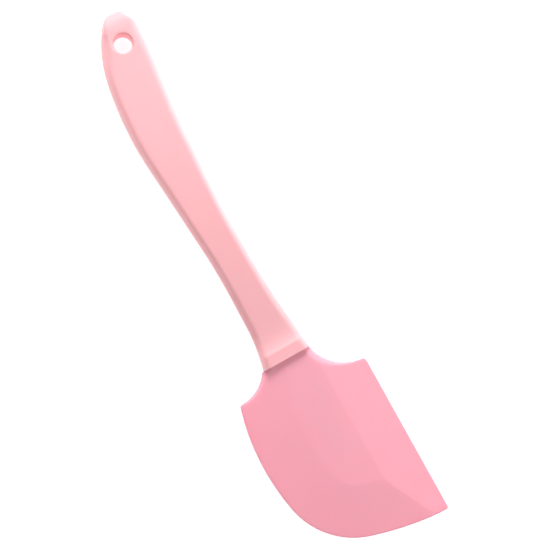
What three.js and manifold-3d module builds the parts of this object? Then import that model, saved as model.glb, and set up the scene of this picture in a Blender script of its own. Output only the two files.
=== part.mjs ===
// Silicone-bladed scraper spatula, lying on its back: handle towards +Y, blade towards -Y, +Z up.
// Millimetres. While the pieces are being shaped, y = 0 is the lip of the handle's collar, where
// the blade butts against it, and z = 0 is the middle of the blade's thickness.
import * as THREE from 'three';
import { mergeVertices } from 'three/addons/utils/BufferGeometryUtils.js';
import Module from 'manifold-3d';

const wasm = await Module();
wasm.setup();

// Fits
const fitGap = 0.3; // clearance left between neighbouring pieces
const flatness = 0.03; // how far an arc's straight steps may stray from it
const through = 20; // thickness of a plan shape that has to pass right through its neighbours

// Handle: a slim moulding, bellied and arched along its length, that ends in a thick collar
const handleEnd = 163; // y of the hanging end
const handleStations = [
  // middle of the outline, width, half the thickness, height of the arch, squareness of the section
  { y: 0, mid: 0.1, width: 22.4, half: 3.2, rise: 0, power: 4.6 },
  { y: 5, mid: 0.3, width: 20.6, half: 3.2, rise: 0, power: 4.6 },
  { y: 14, mid: 0.5, width: 18.3, half: 3.2, rise: 0.3, power: 3.6 },
  { y: 25, mid: 0, width: 16.8, half: 3.4, rise: 1.3, power: 3.4 },
  { y: 45, mid: -0.55, width: 15.7, half: 3.8, rise: 3, power: 3.4 },
  { y: 75, mid: -1.75, width: 17.6, half: 4.4, rise: 4.4, power: 3.4 },
  { y: 105, mid: -1.9, width: 21.7, half: 4.9, rise: 3.7, power: 3.4 },
  { y: 130, mid: 0.3, width: 22.8, half: 5.1, rise: 2.3, power: 3.4 },
  { y: 148, mid: 3.5, width: 22.6, half: 5, rise: 1, power: 3.4 },
  { y: 157, mid: 5.7, width: 23.2, half: 4.8, rise: 0.4, power: 3.4 },
  { y: handleEnd, mid: 6.1, width: 23.2, half: 4.7, rise: 0, power: 3.4 },
];
const collarProud = 1.5; // how far the collar stands above the waist, front and back
const collarFlat = 4.8; // length of the collar's flat top
const collarRamp = 6.2; // length of the hollow ramp behind it
const endRounding = { from: 130, power: 2.5 }; // outline of the hanging end
const tipRounding = { length: 9, power: 2.5 }; // how the hanging end's thickness rounds off

// Hanging hole near the end of the handle
const hole = { x: 4, y: 148.5, radius: 4, lip: 0.7 };

// Core bar inside the handle, with a tongue that carries the blade
const coreHalfThickness = 1.4;
const coreEnd = 128;
const tongueEnd = -46;
const coreStations = [
  { y: tongueEnd, mid: 2.3, width: 10.5 },
  { y: 0, mid: 1, width: 15 },
  { y: 14, mid: 0.5, width: 10 },
  { y: 45, mid: -0.4, width: 9 },
  { y: 105, mid: -1.8, width: 12 },
  { y: coreEnd, mid: 0, width: 10 },
];
const corePower = 8;
const windows = { count: 5, firstY: 28, pitch: 21, length: 12, width: 4 };
const ribs = { xs: [-0.6, 4.8], from: -41, to: -3, width: 1.2, proud: 0.3 };

// Blade: a flat panel that bevels down to thin edges on both sides
const bladeRight = 29.6; // x of the straight edge
const bladeHalf = { panel: 2.8, straightEdge: 0.5, curvedEdge: 1.2, neck: 3.1 };
const bevel = { straight: 18.5, curved: 22 }; // widths of the bevels along the two edges
const neck = { mid: 0.05, width: 21.6, flare: 7, power: 6 };
const bladeCorner = { y: -88.1, radius: 0.8, lift: 3.7 }; // sharp corner; the edge climbs by lift degrees
const curvedEdge = [
  { radius: 140, angle: 14.3 },
  { radius: 34.9, angle: 60.6 },
  { radius: 101, angle: 27.2 },
];
const leftShoulder = { corner: 1.5, radius: 16.6 };
const rightShoulder = { corner: 1.9, radius: 18.5, x: bladeRight, y: 3.3 };

// Smooth value of one station key at y, with no overshoot between stations.
function along(stations, key, y) {
  const slope = (i) => (stations[i + 1][key] - stations[i][key]) / (stations[i + 1].y - stations[i].y);
  const tangent = (i) => {
    if (i === 0 || i === stations.length - 1) return slope(Math.min(i, stations.length - 2));
    const [a, b] = [slope(i - 1), slope(i)];
    return a * b > 0 ? (2 * a * b) / (a + b) : 0;
  };
  let i = stations.findIndex((station) => y < station.y) - 1;
  if (i === -2) i = stations.length - 2;
  if (i === -1) i = 0;
  const span = stations[i + 1].y - stations[i].y;
  const t = (y - stations[i].y) / span;
  const [p, q] = [stations[i][key], stations[i + 1][key]];
  return p + (q - p) * t * t * (3 - 2 * t)
    + span * t * (1 - t) * ((1 - t) * tangent(i) - t * tangent(i + 1));
}

// Rounded section across the y axis, as a ring of points.
function ring({ y, mid, halfWidth, half, rise, power }, count = 36) {
  return Array.from({ length: count }, (_, k) => {
    const angle = ((k + 0.5) / count) * Math.PI * 2;
    const [c, s] = [Math.cos(angle), Math.sin(angle)];
    const x = mid + halfWidth * Math.sign(c) * Math.abs(c) ** (2 / power);
    const z = rise + half * Math.sign(s) * Math.abs(s) ** (2 / power);
    return new THREE.Vector3(x, y, z);
  });
}

// Closed solid through rings of equal count, listed from low y to high y.
function loft(rings) {
  const count = rings[0].length;
  const middle = (points) => points.reduce((sum, p) => sum.add(p), new THREE.Vector3()).divideScalar(count);
  const points = [...rings.flat(), middle(rings[0]), middle(rings.at(-1))];
  const [first, last] = [points.length - 2, points.length - 1];
  const index = [];
  for (let k = 0; k < count; k++) {
    const next = (k + 1) % count;
    index.push(first, k, next);
    for (let r = 0; r < rings.length - 1; r++) {
      const [a, b] = [r * count, (r + 1) * count];
      index.push(a + k, b + k, b + next, a + k, b + next, a + next);
    }
    const top = (rings.length - 1) * count;
    index.push(last, top + next, top + k);
  }
  const geometry = new THREE.BufferGeometry().setFromPoints(points);
  geometry.setIndex(index);
  return geometry;
}

// Joining and cutting
function solid(geometry) {
  geometry.deleteAttribute('normal');
  geometry.deleteAttribute('uv');
  const merged = mergeVertices(geometry, 1e-5);
  return new wasm.Manifold(new wasm.Mesh({
    numProp: 3,
    vertProperties: new Float32Array(merged.attributes.position.array),
    triVerts: new Uint32Array(merged.index.array),
  }));
}

function meshOf(name, body, look) {
  const { vertProperties, triVerts } = body.getMesh();
  const geometry = new THREE.BufferGeometry();
  geometry.setAttribute('position', new THREE.BufferAttribute(vertProperties, 3));
  geometry.setIndex(new THREE.BufferAttribute(triVerts, 1));
  geometry.computeVertexNormals();
  const mesh = new THREE.Mesh(geometry, new THREE.MeshStandardMaterial(look));
  mesh.name = name;
  return mesh;
}

// Flat shape in plan, extruded evenly up and down from z = 0.
function slab(shape, thickness, curveSegments = 12) {
  const geometry = new THREE.ExtrudeGeometry(shape, { depth: thickness, bevelEnabled: false, curveSegments });
  return solid(geometry.translate(0, 0, -thickness / 2));
}

function block(width, length, thickness, x, y) {
  return solid(new THREE.BoxGeometry(width, length, thickness).translate(x, y, 0));
}

// Handle
function handleSection(y) {
  const past = THREE.MathUtils.clamp((y - endRounding.from) / (handleEnd - endRounding.from), 0, 1);
  const narrowing = (1 - past ** endRounding.power) ** (1 / endRounding.power);
  const tip = Math.max(0, (y - handleEnd + tipRounding.length) / tipRounding.length);
  const thinning = (1 - tip ** tipRounding.power) ** (1 / tipRounding.power);
  const ramp = THREE.MathUtils.clamp((y - collarFlat) / collarRamp, 0, 1);
  return {
    y,
    mid: along(handleStations, 'mid', y),
    halfWidth: (along(handleStations, 'width', y) / 2) * narrowing,
    half: along(handleStations, 'half', y) * thinning + collarProud * (1 - ramp) ** 2,
    rise: along(handleStations, 'rise', y),
    power: along(handleStations, 'power', y),
  };
}

function handleOuter() {
  const ys = [0];
  const rampSteps = 5;
  for (let k = 0; k <= rampSteps; k++) ys.push(collarFlat + (collarRamp * k) / rampSteps);
  const bodySteps = 20;
  const bodyStart = collarFlat + collarRamp;
  const bodyEnd = endRounding.from + 8;
  for (let k = 1; k <= bodySteps; k++) ys.push(bodyStart + ((bodyEnd - bodyStart) * k) / bodySteps);
  const endSteps = 10;
  const blunt = 0.4; // share of a step by which the last ring stops short, so that it stays open
  for (let k = 1; k <= endSteps; k++) {
    ys.push(bodyEnd + (handleEnd - bodyEnd) * Math.sin((k / (endSteps + blunt)) * (Math.PI / 2)));
  }
  return solid(loft(ys.map((y) => ring(handleSection(y)))));
}

function holeCutter() {
  const { half, rise } = handleSection(hole.y);
  const reach = half + 4;
  const roundSteps = 40;
  const profile = [];
  const steps = 4;
  for (const side of [-1, 1]) {
    const arc = [];
    for (let k = 0; k <= steps; k++) {
      const angle = (k / steps) * (Math.PI / 2);
      arc.push([hole.radius + hole.lip * (1 - Math.cos(angle)), half - hole.lip * (1 - Math.sin(angle))]);
    }
    arc.push([hole.radius + hole.lip, reach], [0, reach]);
    if (side < 0) arc.reverse();
    profile.push(...arc.map(([r, z]) => new THREE.Vector2(r, side * z)));
  }
  const cutter = new THREE.LatheGeometry(profile, roundSteps);
  return solid(cutter.rotateX(Math.PI / 2).translate(hole.x, hole.y, rise));
}

// Core bar: the same function, grown by a gap, makes the hollow that it sits in.
function coreBar(from, to, grow) {
  const longestStep = 6;
  const corners = 24;
  const steps = Math.ceil((to - from) / longestStep);
  const rings = Array.from({ length: steps + 1 }, (_, k) => {
    const y = from - grow + ((to - from + 2 * grow) * k) / steps;
    const at = THREE.MathUtils.clamp(y, tongueEnd, coreEnd);
    return ring({
      y,
      mid: along(coreStations, 'mid', at),
      halfWidth: along(coreStations, 'width', at) / 2 + grow,
      half: coreHalfThickness + grow,
      rise: along(handleStations, 'rise', Math.max(0, at)),
      power: corePower,
    }, corners);
  });
  return solid(loft(rings));
}

// Ribs along both faces of the tongue, up to y = to.
function tongueRibs(to, grow) {
  const thickness = 2 * (coreHalfThickness + ribs.proud + grow);
  const length = to - ribs.from + grow;
  const bars = ribs.xs.map((x) => block(ribs.width + 2 * grow, length, thickness, x, to - length / 2));
  return bars[0].add(bars[1]);
}

// Oblong plugs through the bar: full size they cut its windows, shrunk they are the handle's bridges.
function windowPlugs(shrink) {
  const plugs = Array.from({ length: windows.count }, (_, k) => {
    const y = windows.firstY + windows.pitch * k;
    const radius = windows.width / 2 - shrink;
    const straight = windows.length / 2 - windows.width / 2;
    const outline = new THREE.Shape();
    outline.absarc(0, straight, radius, 0, Math.PI, false);
    outline.absarc(0, -straight, radius, Math.PI, 2 * Math.PI, false);
    return slab(outline, through, 6).translate([along(coreStations, 'mid', y), y, 0]);
  });
  return plugs.reduce((all, plug) => all.add(plug));
}

function makeHandleGrip() {
  const hollow = coreBar(-1, coreEnd, fitGap).subtract(windowPlugs(fitGap));
  const body = handleOuter().subtract(hollow).subtract(holeCutter());
  return meshOf('handle_grip', body, { color: '#fbc3c9', roughness: 0.36, metalness: 0 });
}

function makeHandleCore() {
  const body = coreBar(tongueEnd, coreEnd, 0).subtract(windowPlugs(0)).add(tongueRibs(ribs.to, 0));
  return meshOf('handle_core', body, { color: '#f3e9e6', roughness: 0.5, metalness: 0 });
}

// Pen that walks round the blade's outline in arcs, keeping its place and heading.
function pen(x, y, heading) {
  const trail = [{ x, y, heading }];
  return {
    trail,
    // angle in degrees, positive to the left
    arc(radius, angle) {
      const at = trail.at(-1);
      const turn = THREE.MathUtils.degToRad(angle);
      const side = Math.sign(turn);
      const steps = Math.ceil(Math.abs(turn) / (2 * Math.acos(1 - flatness / radius)));
      for (let k = 1; k <= steps; k++) {
        const heading = at.heading + (turn * k) / steps;
        trail.push({
          x: at.x + side * radius * (Math.sin(heading) - Math.sin(at.heading)),
          y: at.y - side * radius * (Math.cos(heading) - Math.cos(at.heading)),
          heading,
        });
      }
      return this;
    },
  };
}

// Curved edge from the sharp corner round to the left shoulder.
function walkCurvedEdge() {
  const start = pen(bladeRight, bladeCorner.y, 1.5 * Math.PI);
  start.arc(bladeCorner.radius, -(90 + bladeCorner.lift));
  const firstOfEdge = start.trail.length - 1;
  for (const { radius, angle } of curvedEdge) start.arc(radius, -angle);
  return { walk: start, edge: start.trail.slice(firstOfEdge) };
}

function bladeOutline() {
  const { walk } = walkCurvedEdge();
  const endHeading = THREE.MathUtils.radToDeg(walk.trail.at(-1).heading);
  walk.arc(leftShoulder.corner, -endHeading);
  const rise = (-fitGap - walk.trail.at(-1).y) / leftShoulder.radius;
  walk.arc(leftShoulder.radius, THREE.MathUtils.radToDeg(Math.acos(1 - rise)));
  const { x, y, radius, corner } = rightShoulder;
  const neckHeading = -Math.acos((y + fitGap) / radius);
  const neckX = x - radius * Math.sqrt(1 - ((y + fitGap) / radius) ** 2);
  const right = pen(neckX, -fitGap, neckHeading);
  const meet = Math.asin(corner / (radius + corner));
  right.arc(radius, THREE.MathUtils.radToDeg(-neckHeading - meet));
  right.arc(corner, -90 + THREE.MathUtils.radToDeg(meet));
  const shape = new THREE.Shape();
  shape.setFromPoints([...walk.trail, ...right.trail].map((p) => new THREE.Vector2(p.x, p.y)));
  return shape;
}

// Everything on the inner side of the curved edge, bevelled along that edge alone.
function curvedBevel() {
  const { edge } = walkCurvedEdge();
  const beyond = 60;
  const straightOn = (at, distance) => ({
    ...at,
    x: at.x + distance * Math.cos(at.heading),
    y: at.y + distance * Math.sin(at.heading),
  });
  const extended = [straightOn(edge[0], -beyond), ...edge, straightOn(edge.at(-1), beyond)];
  const outer = extended.map((p) => [p.x, p.y]);
  const inner = extended.map((p) => [
    p.x + bevel.curved * Math.sin(p.heading),
    p.y - bevel.curved * Math.cos(p.heading),
  ]);
  const far = [[200, 60], [200, -60]]; // two corners well clear of the blade's straight side
  const levels = [
    [-bladeHalf.panel, inner],
    [-bladeHalf.curvedEdge, outer],
    [bladeHalf.curvedEdge, outer],
    [bladeHalf.panel, inner],
  ];
  const rings = levels.map(([z, plan]) => [...plan, ...far].map(([x, y]) => [x, y, z]));
  return prismatoid(rings);
}

// Closed solid through plan rings of equal count, listed clockwise, from low z to high z.
function prismatoid(rings) {
  const count = rings[0].length;
  const points = rings.flat().map(([x, y, z]) => new THREE.Vector3(x, y, z));
  const index = [];
  for (let r = 0; r < rings.length - 1; r++) {
    const [a, b] = [r * count, (r + 1) * count];
    for (let k = 0; k < count; k++) {
      const next = (k + 1) % count;
      index.push(a + k, b + k, b + next, a + k, b + next, a + next);
    }
  }
  const cap = (r, flip) => {
    const plan = rings[r].map(([x, y]) => new THREE.Vector2(x, y));
    for (const [i, j, k] of THREE.ShapeUtils.triangulateShape(plan, [])) {
      const base = r * count;
      const cross = (plan[j].x - plan[i].x) * (plan[k].y - plan[i].y)
        - (plan[k].x - plan[i].x) * (plan[j].y - plan[i].y);
      const upward = cross > 0;
      index.push(base + i, ...(upward === flip ? [base + k, base + j] : [base + j, base + k]));
    }
  };
  cap(0, true);
  cap(rings.length - 1, false);
  const geometry = new THREE.BufferGeometry().setFromPoints(points);
  geometry.setIndex(index);
  return solid(geometry);
}

// Everything left of the straight edge, bevelled along that edge alone.
function straightBevel() {
  const { panel, straightEdge: edge } = bladeHalf;
  const crease = bladeRight - bevel.straight;
  const far = -60; // well clear of the curved edge
  const section = new THREE.Shape();
  section.moveTo(far, -panel).lineTo(crease, -panel).lineTo(bladeRight, -edge);
  section.lineTo(bladeRight, edge).lineTo(crease, panel).lineTo(far, panel);
  const length = 200;
  const geometry = new THREE.ExtrudeGeometry(section, { depth: length, bevelEnabled: false });
  return solid(geometry.rotateX(Math.PI / 2).translate(0, length / 2, 0));
}

// Thicker root of the blade, hollowing down from the collar to the panel.
function bladeNeck() {
  const steps = 8;
  const buried = 0.6;
  const rings = Array.from({ length: steps + 1 }, (_, k) => {
    const away = 1 - k / steps;
    return ring({
      y: -fitGap - neck.flare * away,
      mid: neck.mid,
      halfWidth: neck.width / 2,
      half: bladeHalf.panel - buried + (bladeHalf.neck - bladeHalf.panel + buried) * (1 - away) ** 2,
      rise: 0,
      power: neck.power,
    });
  });
  return solid(loft(rings));
}

function makeBladeHead() {
  const mouth = 1; // the pocket's grooves run out past the neck, so that the ribs can slide free
  const pocket = coreBar(tongueEnd, mouth, fitGap).add(tongueRibs(mouth, fitGap));
  const plate = slab(bladeOutline(), through).intersect(curvedBevel()).intersect(straightBevel());
  const body = plate.add(bladeNeck()).subtract(pocket);
  return meshOf('blade_head', body, { color: '#f2abbb', roughness: 0.62, metalness: 0 });
}

// Assembly, moved so that the origin is the middle of the underside of the whole spatula
const spatula = new THREE.Group();
spatula.add(makeHandleGrip(), makeHandleCore(), makeBladeHead());
const extent = new THREE.Box3().setFromObject(spatula);
const middle = extent.getCenter(new THREE.Vector3());
spatula.position.set(-middle.x, -middle.y, -extent.min.z);

export default spatula;
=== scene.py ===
import math

import bmesh
import bpy
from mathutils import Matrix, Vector


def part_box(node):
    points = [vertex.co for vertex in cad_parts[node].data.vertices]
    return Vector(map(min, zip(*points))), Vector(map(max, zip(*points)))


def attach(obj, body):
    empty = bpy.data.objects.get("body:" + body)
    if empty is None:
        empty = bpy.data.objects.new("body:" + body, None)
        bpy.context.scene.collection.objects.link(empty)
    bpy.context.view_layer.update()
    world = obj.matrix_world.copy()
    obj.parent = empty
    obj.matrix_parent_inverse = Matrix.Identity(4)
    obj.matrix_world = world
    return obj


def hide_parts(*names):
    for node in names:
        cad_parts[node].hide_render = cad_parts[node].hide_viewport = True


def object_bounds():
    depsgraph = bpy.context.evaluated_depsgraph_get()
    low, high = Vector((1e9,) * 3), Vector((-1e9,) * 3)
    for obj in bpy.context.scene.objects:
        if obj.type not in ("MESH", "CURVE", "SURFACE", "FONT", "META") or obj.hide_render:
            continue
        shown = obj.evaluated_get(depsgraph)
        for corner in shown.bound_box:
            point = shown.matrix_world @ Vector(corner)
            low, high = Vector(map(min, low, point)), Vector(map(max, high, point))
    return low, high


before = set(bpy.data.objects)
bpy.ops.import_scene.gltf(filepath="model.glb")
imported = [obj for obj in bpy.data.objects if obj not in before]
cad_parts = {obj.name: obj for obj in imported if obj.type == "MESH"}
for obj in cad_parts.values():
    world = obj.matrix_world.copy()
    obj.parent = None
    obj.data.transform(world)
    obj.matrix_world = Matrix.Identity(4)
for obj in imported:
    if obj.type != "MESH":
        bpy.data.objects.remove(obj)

mm = 0.001
tiny = 0.02 * mm            # closer than this counts as lying on a plane
samePoint = 1e-7            # metres
mergeWithin = 1e-6          # metres
facing = 0.9                # share of a normal that counts as facing an axis
through = 10                # half the height of a cutter that goes through everything
smoothAngle = math.radians(35)
cornerAngle = math.radians(50)    # corners sharper than this get an edge bevel
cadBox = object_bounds()
gripLow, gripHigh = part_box("handle_grip")
headLow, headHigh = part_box("blade_head")

# every piece is modelled round the middle of the collar's lip, in millimetres, then put in place
straightX = 29.6            # from the lip's middle to the blade's straight edge
lip = Vector((headHigh.x - straightX * mm, gripLow.y, (headLow.z + headHigh.z) / 2))


def clearSelection():
    if bpy.context.mode != "OBJECT":
        bpy.ops.object.mode_set(mode="OBJECT")
    bpy.ops.object.select_all(action="DESELECT")


def makeActive(piece):
    clearSelection()
    piece.select_set(True)
    bpy.context.view_layer.objects.active = piece


def nameIt(name):
    piece = bpy.context.object
    piece.name = piece.data.name = name
    return piece


# a box from low to high, in millimetres, left open for editing
def startBlock(name, low, high):
    clearSelection()
    size = [(b - a) * mm for a, b in zip(low, high)]
    middle = [(a + b) / 2 * mm for a, b in zip(low, high)]
    bpy.ops.mesh.primitive_cube_add(size=1, location=middle, scale=size)
    piece = nameIt(name)
    bpy.ops.object.transform_apply(location=True, rotation=False, scale=True)
    bpy.ops.object.mode_set(mode="EDIT")
    return piece


# selects only the verts, edges or faces that pass the test
def pick(piece, kind, test):
    bpy.ops.mesh.select_mode(type=kind)
    bpy.ops.mesh.select_all(action="DESELECT")
    mesh = bmesh.from_edit_mesh(piece.data)
    mesh.normal_update()
    for element in {"VERT": mesh.verts, "EDGE": mesh.edges, "FACE": mesh.faces}[kind]:
        if test(element):
            element.select = True
    mesh.select_flush_mode()
    bmesh.update_edit_mesh(piece.data)


def pickAll():
    bpy.ops.mesh.select_all(action="SELECT")


def extrude(x, y, z):
    bpy.ops.mesh.extrude_region_move(TRANSFORM_OT_translate={"value": (x * mm, y * mm, z * mm)})


def applyModifier(piece, kind, **settings):
    makeActive(piece)
    modifier = piece.modifiers.new(kind.lower(), kind)
    for key, value in settings.items():
        setattr(modifier, key, value)
    bpy.ops.object.modifier_apply(modifier=modifier.name)


def combine(piece, other, operation):
    applyModifier(piece, "BOOLEAN", object=other, operation=operation, solver="EXACT")
    bpy.data.objects.remove(other)


# takes a finished mesh from the lip's frame to its real place, and hands it to its body
def finishPiece(piece, body, node):
    makeActive(piece)
    piece.location = lip
    bpy.ops.object.transform_apply(location=True, rotation=True, scale=True)
    bpy.ops.object.shade_smooth_by_angle(angle=smoothAngle)
    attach(piece, body)
    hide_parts(node)
    print(piece.name, len(piece.data.vertices), "verts")


# smooth value of one station key at y, with no overshoot between stations
def along(stations, key, y):
    ys = [s["y"] for s in stations]
    slopes = [(q[key] - p[key]) / (q["y"] - p["y"]) for p, q in zip(stations, stations[1:])]

    def tangent(i):
        if i in (0, len(slopes)):
            return slopes[min(i, len(slopes) - 1)]
        a, b = slopes[i - 1], slopes[i]
        return 2 * a * b / (a + b) if a * b > 0 else 0

    i = max(0, min(len(slopes) - 1, sum(y >= place for place in ys) - 1))
    span = ys[i + 1] - ys[i]
    t = (y - ys[i]) / span
    p, q = stations[i][key], stations[i + 1][key]
    blend = p + (q - p) * t * t * (3 - 2 * t)
    return blend + span * t * (1 - t) * ((1 - t) * tangent(i) - t * tangent(i + 1))


# the handle's outer moulding
grip = {
    "end": (gripHigh.y - gripLow.y) / mm,
    "stations": [
        # mid: middle of the outline, half: half the thickness, rise: height of the arch,
        # flat: share of the width that is flat, side: share of the thickness that is straight
        {"y": 0, "mid": 0.1, "width": 22.4, "half": 3.2, "rise": 0, "flat": 0.82, "side": 0.4},
        {"y": 5, "mid": 0.3, "width": 20.6, "half": 3.2, "rise": 0, "flat": 0.82, "side": 0.4},
        {"y": 14, "mid": 0.5, "width": 18.3, "half": 3.2, "rise": 0.3, "flat": 0.77, "side": 0.34},
        {"y": 25, "mid": 0, "width": 16.8, "half": 3.4, "rise": 1.3, "flat": 0.75, "side": 0.3},
        {"y": 45, "mid": -0.55, "width": 15.7, "half": 3.8, "rise": 3, "flat": 0.75, "side": 0.3},
        {"y": 75, "mid": -1.75, "width": 17.6, "half": 4.4, "rise": 4.4, "flat": 0.79, "side": 0.3},
        {"y": 105, "mid": -1.9, "width": 21.7, "half": 4.9, "rise": 3.7, "flat": 0.82, "side": 0.3},
        {"y": 130, "mid": 0.3, "width": 22.8, "half": 5.1, "rise": 2.3, "flat": 0.82, "side": 0.3},
        {"y": 148, "mid": 3.5, "width": 22.6, "half": 5, "rise": 1, "flat": 0.82, "side": 0.3},
        {"y": 157, "mid": 5.9, "width": 23.1, "half": 4.8, "rise": 0.4, "flat": 0.82, "side": 0.3},
        {"y": 163, "mid": 6.4, "width": 22.8, "half": 4.7, "rise": 0, "flat": 0.82, "side": 0.3},
    ],
    "collarProud": 1.49,    # how far the collar stands above the waist
    "collarFlat": 4.8,
    "collarRamp": 6.2,
    "roundFrom": 130,       # the outline's rounding towards the hanging end
    "roundPower": 2.35,
    "tipRounding": 9, "tipPower": 2.5,
    "holeX": 4, "holeY": 148.5, "holeRadius": 4, "holeRim": 0.8,
    "smoothLevels": 3,
    "lipBevel": 0.2, "lipSegments": 3,
}

# the coarse cage that the handle is smoothed from
cage = {
    "depth": 0.3, "chamfer": 2,             # the first slice and its corners
    "column": 0.8,                          # where the inner columns stand, as a share of the flat
    "firstRow": 0.6,
    "collarRows": (-0.8, -0.1, 0.5),        # counted from the end of the collar's flat
    "rampRows": (0.24, 0.45, 0.68, 0.95, 1.25, 1.7),    # as shares of the ramp
    "bodyRows": 14,
    "holeRow": 5.4, "beforeHole": 5,        # rows each side of the hole's middle, and the gap before them
    "tipRows": 6, "tipTurn": 6.5,           # a quarter turn would take 6.5 rows, so the last stops short
    "shrink": 0.902,                        # a smoothed octagon's radius, as a share of its cage's
    "rimMargin": 1,                         # from the hole's rim out to the ring drawn round it
    "rimStep": 0.25, "sinks": (0, 0.2, 0.7, 0.9),       # how the rim rolls over into the hole
    "slant": 0.7,                           # share of a normal that still counts as front or back
    "reach": 1.05,                          # picks out to just past a ring
}


def gripSection(y):
    keys = ("mid", "width", "half", "rise", "flat", "side")
    s = {key: along(grip["stations"], key, y) for key in keys}
    past = min(1, max(0, (y - grip["roundFrom"]) / (grip["end"] - grip["roundFrom"])))
    s["halfWidth"] = s["width"] / 2 * (1 - past ** grip["roundPower"]) ** (1 / grip["roundPower"])
    ramp = min(1, max(0, (y - grip["collarFlat"]) / grip["collarRamp"]))
    tip = max(0, (y - grip["end"] + grip["tipRounding"]) / grip["tipRounding"])
    s["half"] *= max(0, 1 - tip ** grip["tipPower"]) ** (1 / grip["tipPower"])
    s["half"] += grip["collarProud"] * (1 - ramp) ** 2
    s["y"] = y
    return s


# the loop just extruded still has the old section's size: scale it, then set its flats
def shapeLoop(piece, old, new):
    centre = (new["mid"] * mm, new["y"] * mm, new["rise"] * mm)
    grow = (new["halfWidth"] / old["halfWidth"], 1, new["half"] / old["half"])
    bpy.ops.transform.resize(value=grow, center_override=centre)

    def onLoop(v):
        return abs(v.co.y - centre[1]) < tiny

    pick(piece, "VERT", lambda v: onLoop(v) and abs(abs(v.co.z - centre[2]) - new["half"] * mm) < tiny)
    bpy.ops.transform.resize(value=(new["flat"] / old["flat"], 1, 1), center_override=centre)
    pick(piece, "VERT", lambda v: onLoop(v) and abs(abs(v.co.x - centre[0]) - new["halfWidth"] * mm) < tiny)
    bpy.ops.transform.resize(value=(1, 1, new["side"] / old["side"]), center_override=centre)
    pick(piece, "FACE", lambda f: all(onLoop(v) for v in f.verts))


# rows of the cage: close together on the ramp, round the hole and at the tip
def gripRows():
    flat, ramp = grip["collarFlat"], grip["collarRamp"]
    rows = [cage["firstRow"]] + [flat + step for step in cage["collarRows"]]
    rows += [flat + ramp * share for share in cage["rampRows"]]
    first, last, count = rows[-1], grip["holeY"] - cage["holeRow"] - cage["beforeHole"], cage["bodyRows"]
    rows += [first + (last - first) * k / count for k in range(1, count + 1)]
    rows += [grip["holeY"] + cage["holeRow"] * k for k in (-1, 0, 1)]
    tip = rows[-1]
    turns = [math.radians(90 * k / cage["tipTurn"]) for k in range(1, cage["tipRows"] + 1)]
    return rows + [tip + (grip["end"] - tip) * math.sin(turn) for turn in turns]


# on each face the cage is drawn into a ring round the hole and sunk in, then front and back are joined
def cutHangingHole(piece):
    place = Vector((grip["holeX"], grip["holeY"])) * mm
    section = gripSection(grip["holeY"])
    column = section["halfWidth"] * section["flat"] * cage["column"] * mm
    row = cage["holeRow"] * mm
    wall = grip["holeRadius"] / cage["shrink"]
    rim = (grip["holeRadius"] + grip["holeRim"]) / cage["shrink"]
    outer = rim + cage["rimMargin"]
    eighth = math.pi / 4

    def pickWithin(radius, test):
        pick(piece, "FACE", lambda f: test(f) and all(
            (v.co.xy - place).length < radius * cage["reach"] * mm for v in f.verts))

    for side in (1, -1):
        mesh = bmesh.from_edit_mesh(piece.data)
        mesh.normal_update()
        verts = set()
        for f in mesh.faces:
            c = f.calc_center_median()
            inRow = abs(c.y - place.y) < row
            inColumn = abs(c.x - section["mid"] * mm) < column
            if f.normal.z * side > cage["slant"] and inRow and inColumn:
                verts.update(f.verts)
        moves = []
        for v in verts:
            middle = along(grip["stations"], "mid", v.co.y / mm) * mm
            away = Vector(((v.co.x - middle) / column, (v.co.y - place.y) / row))
            target = place.copy()
            if away.length > 0.2:       # all but the middle vertex go to the ring's eight corners
                angle = round(math.atan2(away.y, away.x) / eighth) * eighth
                target += Vector((math.cos(angle), math.sin(angle))) * outer * mm
            moves.append((v.co.copy(), (target - v.co.xy).to_3d()))
        for start, move in moves:
            pick(piece, "VERT", lambda v: (v.co - start).length < samePoint)
            bpy.ops.transform.translate(value=move)
        pickWithin(outer, lambda f: f.normal.z * side > cage["slant"])
        before = outer
        for radius, sink in zip((rim, wall + cage["rimStep"], wall, wall), cage["sinks"]):
            extrude(0, 0, -side * sink)
            bpy.ops.transform.resize(value=(radius / before, radius / before, 1),
                                     center_override=(place.x, place.y, 0))
            before = radius
    pickWithin(wall, lambda f: abs(f.normal.z) > cage["slant"])
    bpy.ops.mesh.delete(type="FACE")
    pick(piece, "EDGE", lambda e: e.is_boundary)
    bpy.ops.mesh.bridge_edge_loops()


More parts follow.
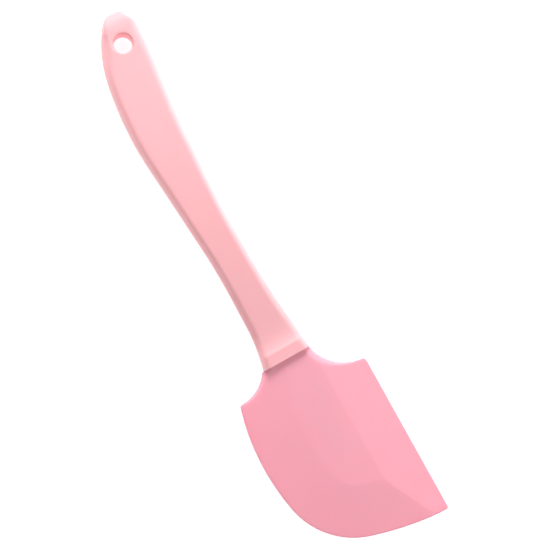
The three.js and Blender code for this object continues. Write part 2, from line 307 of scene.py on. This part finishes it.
def makeGrip():
    start = gripSection(0)
    h, w = start["half"], start["halfWidth"]
    depth, chamfer = cage["depth"], cage["chamfer"]
    piece = startBlock("spatula_grip", (start["mid"] - w, 0, -h), (start["mid"] + w, depth, h))
    pick(piece, "EDGE", lambda e: abs(e.verts[0].co.y - e.verts[1].co.y) > depth * mm / 2)
    bpy.ops.mesh.bevel(offset=chamfer * mm, segments=1, affect="EDGES")
    octagon = {**start, "flat": 1 - chamfer / w, "side": 1 - chamfer / h}
    for share in (-cage["column"], 0, cage["column"]):
        x = start["mid"] + w * octagon["flat"] * share
        pickAll()
        bpy.ops.mesh.bisect(plane_co=(x * mm, 0, 0), plane_no=(1, 0, 0))
    pickAll()
    bpy.ops.mesh.bisect(plane_co=(0, 0, 0), plane_no=(0, 0, 1))
    for y in (0, depth):
        pick(piece, "FACE", lambda f: abs(f.normal.y) > facing and abs(
            f.calc_center_median().y - y * mm) < tiny)
        shapeLoop(piece, octagon, {**start, "y": y})
    before = {**start, "y": depth}
    for y in gripRows():
        now = gripSection(y)
        extrude(now["mid"] - before["mid"], y - before["y"], now["rise"] - before["rise"])
        shapeLoop(piece, before, now)
        before = now
    cutHangingHole(piece)
    # the lip stays sharp while the rest is smoothed
    pick(piece, "EDGE", lambda e: all(v.co.y < tiny for v in e.verts) and any(
        abs(f.normal.y) < facing for f in e.link_faces))
    bpy.ops.transform.edge_crease(value=1)
    applyModifier(piece, "SUBSURF", levels=grip["smoothLevels"], render_levels=grip["smoothLevels"])
    applyModifier(piece, "BEVEL", width=grip["lipBevel"] * mm, segments=grip["lipSegments"],
                  angle_limit=cornerAngle)
    return piece


# the stiff bar inside, whose tongue carries the blade
core = {
    "half": 1.4,
    "end": 128,
    "tongue": -46,
    "stations": [
        {"y": -46, "mid": 2.3, "width": 10.5},
        {"y": 0, "mid": 1, "width": 15},
        {"y": 14, "mid": 0.5, "width": 10},
        {"y": 45, "mid": -0.4, "width": 9},
        {"y": 105, "mid": -1.8, "width": 12},
        {"y": 128, "mid": 0, "width": 10},
    ],
    "chamfer": 0.5,
    "rowStep": 4,           # longest step between two rows of the bar
    "windows": 5, "windowFirst": 28, "windowPitch": 21, "windowLength": 12, "windowWidth": 4,
    "ribXs": (-0.6, 4.8), "ribFrom": -41, "ribTo": -3, "ribWidth": 1.2, "ribProud": 0.3,
    "edge": 0.18,
}
fitGap = 0.3                # clearance round the bar
mouth = 1                   # how far the bar's cutters reach past the lip


def coreSection(y, grow):
    at = min(core["end"], max(core["tongue"], y))
    return {
        "y": y,
        "mid": along(core["stations"], "mid", at),
        "halfWidth": along(core["stations"], "width", at) / 2 + grow,
        "rise": along(grip["stations"], "rise", max(0, at)),
    }


# the same bar, grown by a gap, is the cutter for the hollow it sits in
def makeBar(name, low, high, grow):
    half = core["half"] + grow
    low, high = low - grow, high + grow
    steps = math.ceil((high - low) / core["rowStep"])
    first = coreSection(low, grow)
    before = coreSection(low + (high - low) / steps, grow)
    side = first["halfWidth"]
    piece = startBlock(name, (first["mid"] - side, low, first["rise"] - half),
                       (first["mid"] + side, before["y"], first["rise"] + half))
    pick(piece, "EDGE", lambda e: abs(e.verts[0].co.y - e.verts[1].co.y) > mm)
    bpy.ops.mesh.bevel(offset=core["chamfer"] * mm, segments=2, affect="EDGES")
    pick(piece, "FACE", lambda f: f.normal.y > facing)
    bpy.ops.transform.translate(
        value=((before["mid"] - first["mid"]) * mm, 0, (before["rise"] - first["rise"]) * mm))
    bpy.ops.transform.resize(
        value=(before["halfWidth"] / side, 1, 1), center_override=(before["mid"] * mm, 0, 0))
    for k in range(2, steps + 1):
        now = coreSection(low + (high - low) * k / steps, grow)
        extrude(now["mid"] - before["mid"], now["y"] - before["y"], now["rise"] - before["rise"])
        bpy.ops.transform.resize(
            value=(now["halfWidth"] / before["halfWidth"], 1, 1), center_override=(now["mid"] * mm, 0, 0))
        before = now
    clearSelection()
    return piece


def addRibs(piece, top, grow):
    reach = core["half"] + core["ribProud"] + grow
    for x in core["ribXs"]:
        side = core["ribWidth"] / 2 + grow
        rib = startBlock("rib", (x - side, core["ribFrom"] - grow, -reach), (x + side, top, reach))
        combine(piece, rib, "UNION")


# oblong plugs: full size they cut the bar's windows, shrunk they leave the handle's bridges
def cutWindows(piece, shrink):
    nearlyRound = 0.98      # share of the half width that each corner's bevel takes
    for k in range(core["windows"]):
        y = core["windowFirst"] + core["windowPitch"] * k
        x = along(core["stations"], "mid", y)
        wide, long = core["windowWidth"] / 2 - shrink, core["windowLength"] / 2 - shrink
        plug = startBlock("window", (x - wide, y - long, -through), (x + wide, y + long, through))
        pick(plug, "EDGE", lambda e: abs(e.verts[0].co.z - e.verts[1].co.z) > mm)
        bpy.ops.mesh.bevel(offset=wide * nearlyRound * mm, segments=6, affect="EDGES")
        combine(piece, plug, "DIFFERENCE")


def makeCore():
    piece = makeBar("spatula_core", core["tongue"], core["end"], 0)
    cutWindows(piece, 0)
    addRibs(piece, core["ribTo"], 0)
    applyModifier(piece, "BEVEL", width=core["edge"] * mm, segments=2, angle_limit=cornerAngle)
    return piece


# the soft blade
blade = {
    "cornerY": -88.85,      # where the straight and curved edges would meet
    "cornerRadius": 0.8,
    "lift": 3.7,            # degrees the curved edge climbs as it leaves the corner
    "curvedEdge": ((140, 14.3), (34.9, 60.6), (101, 27.2)),    # radius, degrees turned
    "leftCorner": 1.5, "leftHollow": 16.6,
    "rightCorner": 1.9, "rightHollow": 18.9, "rightHollowY": 3.5,
    "hollowRim": 3,         # how far the hollows' rims roll back front and back
    "panelHalf": 2.8,
    "outlineHeight": 10,    # taller than the slab
    "straightBevel": 18.5, "straightHalf": 0.35,
    "curvedBevel": 22, "curvedHalf": 1.2,
    "neckHalf": 3.1, "neckMid": -0.1, "neckWidth": 22.8, "neckFlare": 7,
    "neckStub": 4,          # how far the neck is made past the lip, before it is cut back
    "neckSunk": 0.6, "neckSteps": 9, "neckBevel": 1,    # how the flare dives under the panel
    "buttY": -0.12,         # the blade's root stops just short of the collar
    "slab": ((-70, -120), (60, 20)),    # the block that the blade is shaved from
    "voxel": 0.4, "smoothFactor": 0.5, "smoothTimes": 8,
}
turnStep = 3.4              # at most this many degrees between the bevel's planes
smallArc = 5                # arcs below this radius turn in steps four times as wide


# a pen that walks the outline clockwise by spinning its last vertex
class Pen:
    def __init__(self, x, y, heading):
        self.x, self.y, self.heading = x, y, heading
        self.trail = [(x, y, heading)]

    def arc(self, radius, turn):
        side = math.copysign(1, turn)
        a = math.radians(self.heading)
        centre = (self.x - side * radius * math.sin(a), self.y + side * radius * math.cos(a))
        coarser = 1 if radius > smallArc else 4
        steps = max(3, math.ceil(abs(turn) / turnStep / coarser))
        bpy.ops.mesh.spin(steps=steps, angle=math.radians(turn), axis=(0, 0, -1),
                          center=(centre[0] * mm, centre[1] * mm, 0))
        for k in range(1, steps + 1):
            b = math.radians(self.heading + turn * k / steps)
            self.trail.append((centre[0] + side * radius * math.sin(b),
                               centre[1] - side * radius * math.cos(b), math.degrees(b)))
        self.x, self.y, self.heading = self.trail[-1]

    def lineTo(self, x, y):
        extrude(x - self.x, y - self.y, 0)
        self.x, self.y = x, y


# flat outline, clockwise from the sharp corner, filled with one face
def drawOutline(name):
    radius, lift = blade["cornerRadius"], blade["lift"]
    bpy.ops.mesh.primitive_plane_add(size=mm)
    piece = nameIt(name)
    bpy.ops.object.mode_set(mode="EDIT")
    bpy.ops.mesh.select_mode(type="VERT")
    pickAll()
    bpy.ops.mesh.merge(type="CENTER")
    tangent = radius * math.tan(math.radians((90 + lift) / 2))
    pen = Pen(straightX, blade["cornerY"] + tangent, 270)
    bpy.ops.transform.translate(value=(pen.x * mm, pen.y * mm, 0))
    pen.arc(radius, -90 - lift)
    edgeStart = len(pen.trail) - 1
    for bend, turn in blade["curvedEdge"]:
        pen.arc(bend, -turn)
    edge = pen.trail[edgeStart:]
    pen.arc(blade["leftCorner"], -pen.heading)
    leftCentre = (pen.x, pen.y + blade["leftHollow"])
    top = blade["rightHollowY"]
    pen.arc(blade["leftHollow"], math.degrees(math.acos(1 - (top - pen.y) / blade["leftHollow"])))
    hollow, corner = blade["rightHollow"], blade["rightCorner"]
    pen.lineTo(straightX - hollow, top)
    pen.heading = -90
    meet = math.degrees(math.asin(corner / (hollow + corner)))
    pen.arc(hollow, 90 - meet)
    pen.arc(corner, meet - 90)
    pickAll()
    bpy.ops.mesh.remove_doubles(threshold=mergeWithin)
    bpy.ops.mesh.edge_face_add()
    return piece, edge, leftCentre


# shaves a thick block front and back to a plane that rises inwards from an edge
def shaveBevel(x, y, inX, inY, width, edgeHalf):
    slope = (blade["panelHalf"] - edgeHalf) / width
    for side in (1, -1):
        pickAll()
        bpy.ops.mesh.bisect(plane_co=(x * mm, y * mm, side * edgeHalf * mm),
                            plane_no=(-slope * inX, -slope * inY, side),
                            use_fill=True, clear_outer=True, threshold=samePoint)


def makeNeck():
    half, flare = blade["neckHalf"], blade["neckFlare"]
    mid, wide = blade["neckMid"], blade["neckWidth"] / 2
    piece = startBlock("neck", (mid - wide, 0, -half), (mid + wide, blade["neckStub"], half))
    pick(piece, "FACE", lambda f: f.normal.y < -facing)
    before, sunk, steps = half, blade["neckSunk"], blade["neckSteps"]
    for k in range(1, steps + 1):
        now = blade["panelHalf"] - sunk + (half - blade["panelHalf"] + sunk) * (1 - k / steps) ** 2
        extrude(0, -flare / steps, 0)
        bpy.ops.transform.resize(value=(1, 1, now / before), center_override=(0, 0, 0))
        before = now
    pick(piece, "EDGE", lambda e: e.verts[0].co.x * e.verts[1].co.x > 0 and
         e.verts[0].co.z * e.verts[1].co.z > 0 and abs(e.verts[0].co.y - e.verts[1].co.y) > tiny)
    bpy.ops.mesh.bevel(offset=blade["neckBevel"] * mm, segments=2, affect="EDGES")
    clearSelection()
    return piece


# a spool that rolls the rim of one hollow back: its waist is the hollow's own radius
spool = {"corners": 160, "waist": 0.4, "steps": 8, "height": 1.4}    # height is a share of the panel's


def makeSpool(x, y, radius):
    half, waist, steps = blade["panelHalf"], spool["waist"], spool["steps"]
    clearSelection()
    bpy.ops.mesh.primitive_cylinder_add(vertices=spool["corners"], radius=radius * mm, depth=waist * mm,
                                        location=(x * mm, y * mm, 0))
    piece = nameIt("spool")
    bpy.ops.object.transform_apply(location=True, rotation=False, scale=False)
    bpy.ops.object.mode_set(mode="EDIT")
    step = (half * spool["height"] - waist / 2) / steps
    for side in (1, -1):
        pick(piece, "FACE", lambda f: f.normal.z * side > facing and f.calc_center_median().z * side > 0)
        before, z = radius, waist / 2
        for _ in range(steps):
            z += step
            now = radius + blade["hollowRim"] * (z / half) ** 2
            extrude(0, 0, side * step)
            bpy.ops.transform.resize(
                value=(now / before, now / before, 1), center_override=(x * mm, y * mm, 0))
            before = now
    clearSelection()
    return piece


def makeBlade():
    clearSelection()
    outline, edge, leftCentre = drawOutline("outline")
    extrude(0, 0, blade["outlineHeight"])
    pickAll()
    bpy.ops.transform.translate(value=(0, 0, -blade["outlineHeight"] / 2 * mm))
    bpy.ops.mesh.normals_make_consistent(inside=False)
    half = blade["panelHalf"]
    low, high = blade["slab"]
    piece = startBlock("spatula_blade", (*low, -half), (*high, half))
    for x, y, heading in edge:
        a = math.radians(heading)
        shaveBevel(x, y, math.sin(a), -math.cos(a), blade["curvedBevel"], blade["curvedHalf"])
    shaveBevel(straightX, 0, -1, 0, blade["straightBevel"], blade["straightHalf"])
    combine(piece, outline, "INTERSECT")
    combine(piece, makeNeck(), "UNION")
    combine(piece, makeSpool(*leftCentre, blade["leftHollow"]), "DIFFERENCE")
    combine(piece, makeSpool(straightX, blade["rightHollowY"], blade["rightHollow"]), "DIFFERENCE")
    applyModifier(piece, "REMESH", mode="VOXEL", voxel_size=blade["voxel"] * mm)
    applyModifier(piece, "SMOOTH", factor=blade["smoothFactor"], iterations=blade["smoothTimes"])
    aside = 40              # past both edges of the blade
    collarSpace = startBlock("collar_space", (-aside, blade["buttY"], -through), (aside, through, through))
    combine(piece, collarSpace, "DIFFERENCE")
    pocket = makeBar("pocket", core["tongue"], mouth, fitGap)
    addRibs(pocket, mouth, fitGap)
    combine(piece, pocket, "DIFFERENCE")
    return piece


# effects that more than one finish uses, built once as node groups
def newGroup(name, inputs, outputs):
    tree = bpy.data.node_groups.new(name, "ShaderNodeTree")
    for label, kind, value in inputs:
        socket = tree.interface.new_socket(label, in_out="INPUT", socket_type="NodeSocket" + kind)
        if value is not None:
            socket.default_value = value
    for label, kind in outputs:
        tree.interface.new_socket(label, in_out="OUTPUT", socket_type="NodeSocket" + kind)
    return tree, tree.nodes.new("NodeGroupInput").outputs, tree.nodes.new("NodeGroupOutput").inputs


# adds a node, sets its properties and constants, and links what is given as a socket
def addNode(tree, kind, links=None, **settings):
    node = tree.nodes.new("ShaderNode" + kind)
    for key, value in settings.items():
        setattr(node, key, value)
    for key, value in (links or {}).items():
        if isinstance(value, bpy.types.NodeSocket):
            tree.links.new(value, node.inputs[key])
        else:
            node.inputs[key].default_value = value
    return node


# slow drift between two tints, drawn out along the flow of the moulding
def makeTintDrift():
    tree, given, out = newGroup("tintDrift", [
        ("Vector", "Vector", None), ("Colour", "Color", (1, 1, 1, 1)), ("Drift", "Color", (1, 1, 1, 1)),
        ("Scale", "Float", 40), ("Amount", "Float", 0.5)], [("Colour", "Color")])
    stretch = addNode(tree, "Mapping", {"Vector": given["Vector"], "Scale": (1, 0.35, 1)})
    noise = addNode(tree, "TexNoise", {"Vector": stretch.outputs[0], "Scale": given["Scale"], "Detail": 3.0,
                                       "Roughness": 0.55})
    spread = addNode(tree, "MapRange", {"Value": noise.outputs["Fac"], "From Min": 0.35, "From Max": 0.68,
                                        "To Max": given["Amount"]})
    mix = addNode(tree, "Mix", {0: spread.outputs[0], 6: given["Colour"], 7: given["Drift"]},
                  data_type="RGBA")
    tree.links.new(mix.outputs[2], out["Colour"])
    return tree


# the fine spark-eroded texture of a mould, as a height
def makeMouldGrain():
    tree, given, out = newGroup("mouldGrain", [
        ("Vector", "Vector", None), ("Scale", "Float", 2500), ("Ripple", "Float", 0.3)],
        [("Height", "Float")])
    fine = addNode(tree, "TexNoise", {"Vector": given["Vector"], "Scale": given["Scale"], "Detail": 2.0,
                                      "Roughness": 0.6})
    broad = addNode(tree, "TexNoise", {"Vector": given["Vector"], "Scale": 140.0, "Detail": 1.0})
    mix = addNode(tree, "Mix", {0: given["Ripple"], 2: fine.outputs["Fac"], 3: broad.outputs["Fac"]})
    tree.links.new(mix.outputs[0], out["Height"])
    return tree


# faint finger smears: roughness that wanders round its middle value
def makeSmears():
    tree, given, out = newGroup("smears", [
        ("Vector", "Vector", None), ("Roughness", "Float", 0.4), ("Spread", "Float", 0.1),
        ("Scale", "Float", 60)], [("Roughness", "Float")])
    noise = addNode(tree, "TexNoise", {"Vector": given["Vector"], "Scale": given["Scale"], "Detail": 4.0,
                                       "Distortion": 0.6})
    centred = addNode(tree, "Math", {0: noise.outputs["Fac"], 1: 0.5}, operation="SUBTRACT")
    scaled = addNode(tree, "Math", {0: centred.outputs[0], 1: given["Spread"], 2: given["Roughness"]},
                     operation="MULTIPLY_ADD")
    tree.links.new(scaled.outputs[0], out["Roughness"])
    return tree


# scattered specks of lint, each a small spot in some of the cells of a Voronoi pattern
def makeLint():
    tree, given, out = newGroup("lint", [
        ("Vector", "Vector", None), ("Colour", "Color", (1, 1, 1, 1)), ("Speck", "Color", (0.5, 0.5, 0.5, 1)),
        ("Scale", "Float", 90), ("Share", "Float", 0.1), ("Size", "Float", 0.05)],
        [("Colour", "Color")])
    cells = addNode(tree, "TexVoronoi", {"Vector": given["Vector"], "Scale": given["Scale"]})
    near = addNode(tree, "Math", {0: cells.outputs["Distance"], 1: given["Size"]}, operation="LESS_THAN")
    dice = addNode(tree, "SeparateColor", {0: cells.outputs["Color"]})
    chosen = addNode(tree, "Math", {0: dice.outputs[0], 1: given["Share"]}, operation="LESS_THAN")
    mask = addNode(tree, "Math", {0: near.outputs[0], 1: chosen.outputs[0]}, operation="MULTIPLY")
    mix = addNode(tree, "Mix", {0: mask.outputs[0], 6: given["Colour"], 7: given["Speck"]}, data_type="RGBA")
    tree.links.new(mix.outputs[2], out["Colour"])
    return tree


groups = {"drift": makeTintDrift(), "grain": makeMouldGrain(), "smears": makeSmears(), "lint": makeLint()}


# a Principled surface fed by the shared effects
def makeFinish(name, look):
    paint = bpy.data.materials.new(name)
    paint.use_nodes = True
    tree = paint.node_tree
    shader = tree.nodes["Principled BSDF"]
    place = tree.nodes.new("ShaderNodeTexCoord").outputs["Object"]

    def effect(kind, links):
        return addNode(tree, "Group", {"Vector": place, **links}, node_tree=groups[kind]).outputs

    colour = effect("drift", {"Colour": (*look["colour"], 1), "Drift": (*look["drift"], 1),
                              "Scale": look["driftScale"], "Amount": look["driftAmount"]})["Colour"]
    colour = effect("lint", {"Colour": colour, "Speck": (*look["lint"], 1), "Scale": look["lintScale"],
                             "Share": look["lintShare"], "Size": look["lintSize"]})["Colour"]
    rough = effect("smears", {"Roughness": look["roughness"], "Spread": look["smear"]})["Roughness"]
    height = effect("grain", {"Scale": look["grainScale"], "Ripple": look["ripple"]})["Height"]
    bump = addNode(tree, "Bump", {"Height": height, "Strength": look["bump"],
                                  "Distance": look["bumpDepth"] * mm})
    tree.links.new(colour, shader.inputs["Base Color"])
    tree.links.new(rough, shader.inputs["Roughness"])
    tree.links.new(bump.outputs[0], shader.inputs["Normal"])
    for socket, value in look["sockets"].items():
        shader.inputs[socket].default_value = value
    return paint


gripLook = {
    "colour": (0.99, 0.475, 0.505), "drift": (0.99, 0.505, 0.535), "driftScale": 30, "driftAmount": 0.6,
    "lint": (0.75, 0.42, 0.44), "lintScale": 60, "lintShare": 0.02, "lintSize": 0.03,
    "roughness": 0.36, "smear": 0.12, "grainScale": 3000, "ripple": 0.5, "bump": 0.25, "bumpDepth": 0.02,
    "sockets": {"IOR": 1.46, "Subsurface Weight": 0.25, "Subsurface Radius": (1, 0.3, 0.3),
                "Subsurface Scale": 0.003},
}
bladeLook = {
    "colour": (0.96, 0.388, 0.48), "drift": (0.96, 0.41, 0.49), "driftScale": 24, "driftAmount": 0.6,
    "lint": (0.62, 0.3, 0.34), "lintScale": 70, "lintShare": 0.03, "lintSize": 0.035,
    "roughness": 0.62, "smear": 0.1, "grainScale": 2400, "ripple": 0.35, "bump": 0.3, "bumpDepth": 0.03,
    "sockets": {"IOR": 1.41, "Subsurface Weight": 0.3, "Subsurface Radius": (1, 0.3, 0.32),
                "Subsurface Scale": 0.002},
}
coreLook = {
    "colour": (0.86, 0.8, 0.76), "drift": (0.8, 0.74, 0.68), "driftScale": 40, "driftAmount": 0.6,
    "lint": (0.6, 0.5, 0.48), "lintScale": 80, "lintShare": 0.02, "lintSize": 0.03,
    "roughness": 0.48, "smear": 0.12, "grainScale": 2000, "ripple": 0.4, "bump": 0.25, "bumpDepth": 0.02,
    "sockets": {"IOR": 1.53, "Subsurface Weight": 0.15, "Subsurface Radius": (1, 0.85, 0.7),
                "Subsurface Scale": 0.0015},
}

print("grip")
gripPiece = makeGrip()
hollow = makeBar("hollow", -mouth, core["end"], fitGap)
cutWindows(hollow, fitGap)
combine(gripPiece, hollow, "DIFFERENCE")
gripPiece.data.materials.append(makeFinish("satin_grip_plastic", gripLook))
finishPiece(gripPiece, "handle", "handle_grip")

print("core")
corePiece = makeCore()
corePiece.data.materials.append(makeFinish("plain_core_nylon", coreLook))
finishPiece(corePiece, "handle", "handle_core")

print("blade")
bladePiece = makeBlade()
bladePiece.data.materials.append(makeFinish("matt_blade_silicone", bladeLook))
finishPiece(bladePiece, "head", "blade_head")


# camera straight above, rolled a little to the tool's left, with the handle leaning to the upper left
view = {
    "look": (12.85, 32.8, 2), "distance": 746, "roll": 7, "lean": 29.3,
    "lens": 116, "sensor": 36, "clip": 0.01,    # the clip is in metres
}


def makeCamera():
    target = lip + Vector(view["look"]) * mm
    roll, lean = math.radians(view["roll"]), math.radians(view["lean"])
    back = Vector((-math.sin(roll), 0, math.cos(roll)))
    clearSelection()
    bpy.ops.object.camera_add(location=target + back * view["distance"] * mm)
    camera = bpy.context.object
    camera.data.lens = view["lens"]
    camera.data.sensor_width = view["sensor"]
    camera.data.clip_start = view["clip"]
    up = Vector((math.sin(lean), math.cos(lean), 0))
    up = (up - back * up.dot(back)).normalized()
    turn = camera.matrix_world.copy()
    for row, axes in enumerate(zip(up.cross(back), up, back)):
        turn[row][0], turn[row][1], turn[row][2] = axes
    camera.matrix_world = turn
    bpy.context.scene.camera = camera


# round softboxes in degrees, metres and watts: azimuth is counted from +X towards +Y
studio = {
    "distance": 1,
    "softboxes": {
        "key": {"azimuth": 61, "elevation": 28, "size": 0.55, "power": 11.2},
        "fill": {"azimuth": -29, "elevation": 40, "size": 0.6, "power": 3.9},
        "left_edge": {"azimuth": 165, "elevation": 22, "size": 0.8, "power": 1.8},
    },
    "world": 0.29,          # strength of the light from all round
    "paper": (0.9, 0.9, 0.9, 1), "paperRoughness": 0.9, "paperGlow": 0.68,
    "paperSize": 4, "paperGap": 0.1,        # metres across, and millimetres under the tool
}


def makeSoftbox(name, softbox):
    a, e = math.radians(softbox["azimuth"]), math.radians(softbox["elevation"])
    back = Vector((math.cos(a) * math.cos(e), math.sin(a) * math.cos(e), math.sin(e)))
    middle = Vector((0, (gripHigh.y + headLow.y) / 2, 0))
    clearSelection()
    bpy.ops.object.light_add(type="AREA", location=middle + back * studio["distance"])
    light = nameIt(name)
    light.data.shape = "DISK"
    light.data.size = softbox["size"]
    light.data.energy = softbox["power"]
    light.rotation_euler = back.to_track_quat("Z", "Y").to_euler()


def makeFloor():
    clearSelection()
    height = cadBox[0].z - studio["paperGap"] * mm
    bpy.ops.mesh.primitive_plane_add(size=studio["paperSize"], location=(0, 0, height))
    floor = nameIt("floor")
    paint = bpy.data.materials.new("floor_paper")
    paint.use_nodes = True
    shader = paint.node_tree.nodes["Principled BSDF"]
    shader.inputs["Base Color"].default_value = studio["paper"]
    shader.inputs["Roughness"].default_value = studio["paperRoughness"]
    shader.inputs["Emission Color"].default_value = (1, 1, 1, 1)
    shader.inputs["Emission Strength"].default_value = studio["paperGlow"]
    floor.data.materials.append(paint)


print("camera and light")
makeCamera()
makeFloor()
for name, softbox in studio["softboxes"].items():
    makeSoftbox(name, softbox)
world = bpy.data.worlds.new("studio")
bpy.context.scene.world = world
world.use_nodes = True
sky = world.node_tree.nodes["Background"].inputs
sky["Color"].default_value = (1, 1, 1, 1)
sky["Strength"].default_value = studio["world"]
bpy.context.scene.view_settings.view_transform = "Standard"
